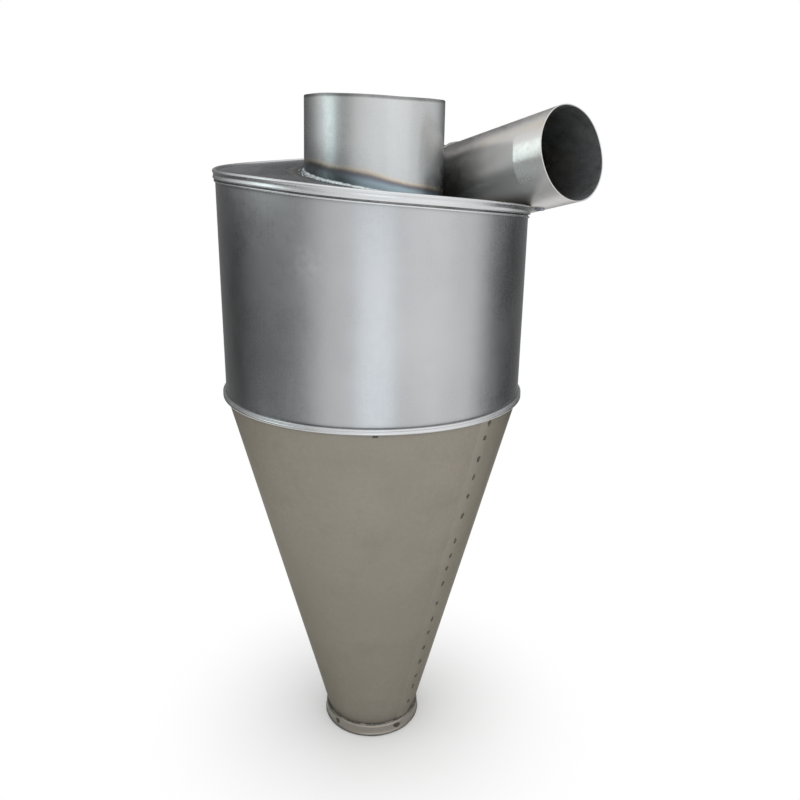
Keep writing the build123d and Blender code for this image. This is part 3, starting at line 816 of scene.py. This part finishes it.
def outlet():
    angles = np.linspace(0, 360, 241)[:-1]
    outlines, heat_and_highlight_tints, shade_and_soot_amount = [], [], []
    for angle in angles:
        turn = radians(angle)
        dip = np.interp(angle, *np.array(MOUTH_DIPS).T) + 0.2 * sin(5 * turn + 1.0) + 0.15 * sin(9 * turn)
        top = OUTLET_TOP - max(0.0, dip)
        foot = roof_top(plan_angle(cos(turn), sin(turn)))
        z = np.concatenate([np.linspace(OUTLET_FOOT, foot - 2, 8), np.linspace(foot, foot + 32, 17),
                            np.linspace(foot + 34, top - 5, 14), top - np.array([3.6, 2.8, 2.0, 1.2, 0.4])])
        bow = waves(turn, z / 50, 61, 0.25, [(2, 0.6), (3, 1.0), (5, 1.3)])
        bow = bow * clipped(np.abs(z - foot) / 20)
        bow = bow + 0.5 * cos(2 * turn + 0.7) * clipped((z - foot - 20) / 80)
        bow = np.minimum(bow, 0.6)
        bow = bow - 2.2 * hump(angle, 185, 30) * clipped((z - foot - 15) / 90)
        outer = np.stack([OUTLET_R + bow, z], -1)
        lip = [(OUTLET_R - 0.3 + bow[-1], top), (OUTLET_R - SHEET + 0.3 + bow[-1], top)]
        outlines.append(np.concatenate([outer, lip, outer[::-1] - (SHEET, 0)]))
        reach = 26 + 3 * sin(turn * 3 + 1.0) + 1.5 * sin(turn * 7)
        warm = np.where(z < foot - 8, 0.15, clipped(1 - (z - foot) / reach))
        heat_and_highlight_tints.append(np.concatenate([warm, [0, 0], warm[::-1] * 0.8]))
        # Painted shade along the top edge of the sheet, and soot low on the pipe's left side by its foot
        rim_edge_shade = 0.75 * clipped(2.8 - (top - z) / 1.6)
        left = hump(angle, SOOT_ANGLE, 30) * (z > foot - 8)
        at_foot = left * (1.1 * clipped(1.7 - (z - foot) / 12) + 0.9 * clipped(1 - (z - foot) / 50))
        edge_shade_and_soot = np.minimum(rim_edge_shade + at_foot, 1)
        shade_and_soot_amount.append(np.concatenate([edge_shade_and_soot, [0.8, 0.8], edge_shade_and_soot[::-1]]))
    add_piece("outlet_wall", *swept(outlines, angles, True), "outlet_steel", outlet_steel, ["outlet_pipe"],
              heat=heat_and_highlight_tints, shade_and_soot=shade_and_soot_amount)


# Inlet pipe, from the step plate to its slanted open mouth

# Where the painted highlight tint runs round the inlet pipe
HIGHLIGHT_STREAK_TURN = radians(144.0)


def pipe_point(turn, radius, along):
    """Point on the inlet pipe: turn is counted from across the pipe over its top."""
    return PIPE_NEAR + PIPE_DIR * along + (ACROSS * cos(turn) + PIPE_UP * sin(turn)) * radius


def reach_at(turn, distance):
    """How far along the pipe a line of its wall is at a distance in front of the step."""
    return (distance - pipe_point(turn, INLET_R, 0.0) @ ALONG) / (PIPE_DIR @ ALONG)


def inlet():
    rows, heat_and_highlight_tints, shade_and_soot_amount = [], [], []
    for turn in np.linspace(0, 2 * pi, 181)[:-1]:
        first = reach_at(turn, STEP_SHEET + SEAT)
        dip = max(0.0, 0.5 + 0.45 * sin(2 * turn + 1.0) + 0.3 * sin(5 * turn))
        reach = INLET_REACH - dip
        t = np.concatenate([np.linspace(first, first + 12, 8), np.linspace(first + 16, reach - 0.4, 40)])
        bow = waves(turn, t / 45, 71, 0.2, [(2, 0.6), (3, 1.0), (4, 1.6)]) * clipped((t - first) / 40)
        bow = np.minimum(bow + 0.4 * cos(2 * turn) * clipped(t / 200), 0.45)
        outer = [pipe_point(turn, INLET_R + b, a) for a, b in zip(t, bow)]
        lip = [pipe_point(turn, INLET_R - 0.35 + bow[-1], reach),
               pipe_point(turn, INLET_R - SHEET + 0.35 + bow[-1], reach)]
        inner = [pipe_point(turn, INLET_R - SHEET + b, a) for a, b in zip(t[::-1], bow[::-1])]
        rows.append(outer + lip + inner)
        x, y, z = np.array(outer).T
        radii = np.hypot(x, y)
        by_roof = 0.75 * np.exp(-np.abs(z - roof_top(plan_angle(x, y))) / 8.0)
        warm = np.maximum(0.8 * np.exp(-(t - first) / 11.0), np.where(radii < BARREL_R + 4, by_roof, 0))
        # Painted highlight tint: a warm cream band where a highlight runs along the pipe's upper side,
        # carried with the heat tints
        streak = 0.2 * hump(turn, HIGHLIGHT_STREAK_TURN, 0.2) * clipped((t - 40) / 60)
        heat_and_highlight_tints.append(np.concatenate([np.maximum(warm, streak), [0, 0], warm[::-1] * 0.8]))
        # Painted shade on the pipe beside the outlet pipe and on its far side, and inside the mouth, darkest
        # under its top and further in
        shade_by_outlet = 0.9 * clipped((58 - radii + OUTLET_R) / 38) * (sin(turn) > -0.9)
        far_side_shade = 0.28 * clipped(0.2 + cos(turn))
        mouth_inside_shade = clipped((reach - t - 22) / 80) + 0.8 * clipped(0.9 * sin(turn))
        shade_and_soot_amount.append(np.concatenate([np.maximum(shade_by_outlet, far_side_shade), [0, 0], np.minimum(mouth_inside_shade, 1)[::-1]]))
    columns = len(rows[0])
    piece = add_piece("inlet_wall", rows, grid_faces(len(rows), columns, True), "inlet_steel", inlet_steel,
                      ["inlet_pipe"], heat=heat_and_highlight_tints, shade_and_soot=shade_and_soot_amount)
    piece.data.materials.append(inlet_inside)
    for polygon in piece.data.polygons:
        if min(i % columns for i in polygon.vertices) >= columns // 2:
            polygon.material_index = 1


# Weld beads of the roof and the pipes

def from_pipe_axis(point):
    moved = np.asarray(point) - PIPE_NEAR
    return moved - PIPE_DIR * (moved @ PIPE_DIR)


def off_pipe(point):
    """Direction straight out from the inlet pipe's axis at a point."""
    return unit(from_pipe_axis(point))


def outlet_foot_weld():
    run = []
    for angle in np.arange(STEP_ANGLE + 0.8, STEP_ANGLE + 359.2, 0.5):
        out = outward_at(angle)
        point = out * OUTLET_R + UP * roof_top(angle)
        in_front = angle > STEP_ANGLE + 180 and (point - PIPE_NEAR) @ PIPE_DIR > 0
        if in_front and np.linalg.norm(from_pipe_axis(point)) < INLET_R + 1.5:
            break
        run.append(point + (out + UP) * 0.8)
    add_weld("outlet_fillet_weld", bead_mesh(run, outward(1.0), 2.9, 1.6, 1.4, 2.2, 80), pale_weld,
             ["outlet_foot_weld"])


def spatter():
    """Drops of weld metal on the roof, thickest at the outlet pipe's left foot."""
    local = np.random.default_rng(82)
    parts = []
    for k in range(80):
        angle = local.normal(226, 12) if k < 60 else local.uniform(170, 280)
        out = outward_at(angle)
        radius = OUTLET_R + 2.2 + abs(local.normal(0, 4.5))
        size = local.uniform(0.35, 1.1)
        centre = out * radius + UP * (roof_top(plan_angle(out[0], out[1])) + 0.1)
        parts.append(blob(centre, UP, out, size * 0.7, size, size * 0.8, 300 + k))
    add_weld("weld_spatter", joined(parts), pale_weld)


def outlet_seam_weld():
    seam = upright_run(OUTLET_SEAM, OUTLET_R, roof_top(OUTLET_SEAM) + 8, OUTLET_TOP - 3, 60)
    add_weld("outlet_long_weld", bead_mesh(seam, outward(), 2.4, 0.8, 0.6, 1.8, 81), weld_metal,
             ["outlet_seam_weld"])


def roof_crossing(side, t):
    """Point where the inlet pipe's surface meets the roof, t in front of the step plate."""
    def gap(a):
        point = ACROSS * a + ALONG * t
        point[2] = roof_top(plan_angle(point[0], point[1]))
        return np.linalg.norm(from_pipe_axis(point)) - INLET_R, point
    low, high = INLET_OFFSET + side, INLET_OFFSET + side * (INLET_R + 10)
    if gap(low)[0] > 0 or gap(high)[0] < 0:
        return None
    for _ in range(40):
        middle = (low + high) / 2
        if gap(middle)[0] > 0:
            high = middle
        else:
            low = middle
    return gap((low + high) / 2)[1]


def inlet_welds():
    parts = []
    for side in (-1, 1):
        run = []
        for t in np.arange(STEP_SHEET + 1, 230, 1.0):
            point = roof_crossing(side, t)
            if point is None:
                break
            radius = np.hypot(point[0], point[1])
            if radius > OUTLET_R + 3 and not (side > 0 and radius > EDGE_R - 1):
                run.append(point + (off_pipe(point) + UP) * 0.7)
        if len(run) > 4:
            parts.append(bead_mesh(run, lambda p: off_pipe(p) + UP, 2.5, 1.4, 1.2, 2.2, 85 + side))
    add_weld("inlet_side_welds", joined(parts), weld_metal, ["inlet_roof_welds"])
    run = []
    for turn in np.radians(np.arange(-90, 270, 1.0)):
        point = pipe_point(turn, INLET_R, reach_at(turn, STEP_SHEET))
        radius = np.hypot(point[0], point[1])
        low = roof_top(STEP_ANGLE + 360) if radius < EDGE_R else PIPE_NEAR[2]
        if radius > OUTLET_R + 2.5 and point[2] > low + 1:
            run.append(point + off_pipe(point) * 0.6 + ALONG * 0.7)
    add_weld("inlet_step_weld", bead_mesh(run, lambda p: off_pipe(p) + ALONG, 1.9, 1.2, 1.2, 2.2, 88),
             weld_metal, ["inlet_end_weld"])
    seam = [pipe_point(0.0, INLET_R, t) for t in np.linspace(12, INLET_REACH - 3, 80)]
    add_weld("inlet_long_weld", bead_mesh(seam, from_pipe_axis, 2.4, 0.8, 0.6, 1.8, 89), weld_metal,
             ["inlet_seam_weld"])


def shown_solids():
    """Steel on the plain sheets that are shown as the solids have them."""
    for node, slot, material in (("barrel_lap_strip", "barrel_steel", barrel_steel),
                                 ("roof_plate", "roof_steel", roof_steel),
                                 ("step_plate", "roof_steel", roof_steel)):
        shown = frame["nodes"][node]
        shown.data.materials.clear()
        shown.data.materials.append(material)


# Floor, backdrop, lamps and camera

def stage_mesh(name, points, faces, material):
    mesh = bpy.data.meshes.new(name)
    mesh.from_pydata(points, [], faces)
    mesh.polygons.foreach_set("use_smooth", [True] * len(mesh.polygons))
    thing = bpy.data.objects.new(name, mesh)
    bpy.context.scene.collection.objects.link(thing)
    mesh.materials.append(material)
    return thing


def floor_material():
    """Pale floor that keeps the soft shadow near the object and turns into the white background further
    out. The camera sees less of the grey floor than reflections do."""
    s = Nodes(bpy.data.materials.new("pale_floor"))
    place = s.place()
    tone = s.mix(s.span(s.noise(place, 3.0, 4.0, 0.6), 0.3, 0.7), rgb(0.9, 0.9, 0.9), rgb(0.94, 0.94, 0.94))
    lit = s.node("ShaderNodeBsdfDiffuse", {"Color": tone}).outputs[0]
    away = s.vector("LENGTH", place)
    seen, mirrored = s.seen_by()
    fade = s.math("ADD", s.math("MULTIPLY", s.span(away, 0.02, 0.38), seen),
                  s.math("MULTIPLY", s.span(away, 0.12, 0.8), mirrored), True)
    return s.output(s.node("ShaderNodeMixShader", {0: fade, 1: lit, 2: s.glow(1.0)}).outputs[0])


def floor():
    steps = np.linspace(-8, 8, 33)
    points = [(x, y, -0.0006) for y in steps for x in steps]
    faces = grid_faces(len(steps), len(steps), False, False)
    stage_mesh("floor", points, faces, floor_material())


# Brightness of the card at angles in plan from the front: below the barrel's top, and above it
LOW_LEVELS = ((-180, 0.5), (-162, 0.45), (-148, 0.26), (-141, 0.18), (-124, 0.13), (-111, 0.05),
              (-101, 0.08), (-92, 0.15), (-84, 0.22), (-70, 0.27), (-56, 0.33), (-46, 0.44), (-38, 0.68),
              (-29, 1.0), (0, 1.0), (24, 1.08), (71, 1.1), (78, 0.86), (86, 0.44), (93, 0.27), (102, 0.15),
              (113, 0.08), (125, 0.12), (141, 0.18), (148, 0.26), (162, 0.45), (180, 0.5))
HIGH_LEVELS = ((-180, 0.1), (-150, 0.12), (-132, 0.18), (-111, 0.4), (-98, 0.75), (-88, 1.0), (-68, 1.0),
               (-60, 0.7), (-48, 0.46), (-38, 0.5), (-29, 0.72), (-20, 0.95), (-8, 1.02), (5, 1.12),
               (27, 1.14), (45, 1.06), (70, 1.0), (81, 0.98), (94, 0.98), (112, 0.9), (125, 0.62),
               (140, 0.26), (160, 0.12), (180, 0.1))
CARD_R = 1.3
CARD_STEP_Z = 0.82
CARD_TOP_Z = 1.4
CARD_TOP_LEVEL = 1.15
CARD_HEIGHTS = (0.0, 0.3, 0.6, CARD_STEP_Z, 0.9, 1.1, CARD_TOP_Z, 1.7, 2.1)


def surround():
    """Graded grey card round the object, which only reflections see: dark at the sides and the back."""
    s = Nodes(bpy.data.materials.new("graded_card"))
    material = s.output(s.glow(s.attribute("level")))
    turns = np.arange(-180, 180, 2.0)
    low = np.interp(turns, *np.array(LOW_LEVELS).T)
    high = np.interp(turns, *np.array(HIGH_LEVELS).T)
    points, levels = [], []
    for turn, dark, pale in zip(turns, low, high):
        back = clipped((abs(turn) - 150) / 14)
        for z in CARD_HEIGHTS:
            points.append(tuple(outward_at(turn - 90) * CARD_R + UP * z))
            share = clipped((z - CARD_STEP_Z) / 0.08)
            level = dark * (1 - share) + pale * share
            above = clipped((z - CARD_TOP_Z - 0.45 * back) / 0.5)
            levels.append(level * (1 - above) + CARD_TOP_LEVEL * above)
    faces = grid_faces(len(turns), len(CARD_HEIGHTS), True, False)
    card = stage_mesh("surround_card", points, faces, material)
    layer = card.data.attributes.new("level", "FLOAT", "POINT")
    layer.data.foreach_set("value", np.array(levels, np.float32))
    card.visible_camera = False
    card.visible_diffuse = False
    card.visible_shadow = False


def world():
    """White to the camera and in reflections, and a little darker where it lights the object."""
    made = bpy.data.worlds.new("studio")
    bpy.context.scene.world = made
    s = Nodes(made)
    shown = s.math("MAXIMUM", *s.seen_by())
    level = s.node("ShaderNodeMapRange", {"Value": shown, "To Min": 0.92, "To Max": 1.0}).outputs[0]
    background = s.node("ShaderNodeBackground", {"Color": WHITE, "Strength": level}).outputs[0]
    s.output(background, "ShaderNodeOutputWorld")


def lamp(name, place, target, width, height, strength, colour=(1, 1, 1)):
    data = bpy.data.lights.new(name, "AREA")
    data.shape = "RECTANGLE"
    data.size, data.size_y = width, height
    data.energy = strength * pi * width * height
    data.color = colour
    light = bpy.data.objects.new(name, data)
    light.location = place
    light.rotation_euler = (Vector(target) - Vector(place)).to_track_quat("-Z", "Y").to_euler()
    bpy.context.scene.collection.objects.link(light)


CAMERA_LENS = 33.75
CAMERA_PLACE = (0.040, -1.0621, 0.851)
CAMERA_DOWN = radians(16.62)
CAMERA_ROLL = 0.0145


def camera():
    data = bpy.data.cameras.new("camera")
    data.lens = CAMERA_LENS
    data.sensor_width = 36.0
    data.clip_start, data.clip_end = 0.05, 60.0
    made = bpy.data.objects.new("camera", data)
    bpy.context.scene.collection.objects.link(made)
    made.matrix_world = (Matrix.Translation(CAMERA_PLACE) @ Matrix.Rotation(pi / 2 - CAMERA_DOWN, 4, "X")
                         @ Matrix.Rotation(CAMERA_ROLL, 4, "Z"))
    bpy.context.scene.camera = made


barrel_wall()
cone_wall()
ring()
roof_rim()
collar()
collar_marks()
seam_spots()
cone_lap()
outlet()
inlet()
outlet_foot_weld()
spatter()
outlet_seam_weld()
inlet_welds()
shown_solids()
floor()
surround()
world()
camera()
lamp("front_lamp", (0.08, -1.22, 0.42), (0.0, 0.0, 0.42), 0.5, 0.74, 0.66, (0.8, 0.92, 1.0))
lamp("right_lamp", (0.8, -0.95, 0.8), (0.0, 0.0, 0.7), 1.05, 1.3, 0.17)
lamp("left_low_lamp", (-1.2, -0.42, 1.02), (0.0, 0.0, 1.02), 0.5, 0.24, 0.7, (0.7, 1.0, 0.98))
lamp("left_high_lamp", (-1.2, -0.42, 1.48), (0.0, 0.0, 1.48), 0.5, 0.68, 0.85, (0.78, 1.0, 0.99))
lamp("top_lamp", (0.2, -0.3, 2.6), (0.0, 0.0, 0.5), 1.8, 1.8, 0.4)
bpy.context.scene.view_settings.view_transform = "Standard"
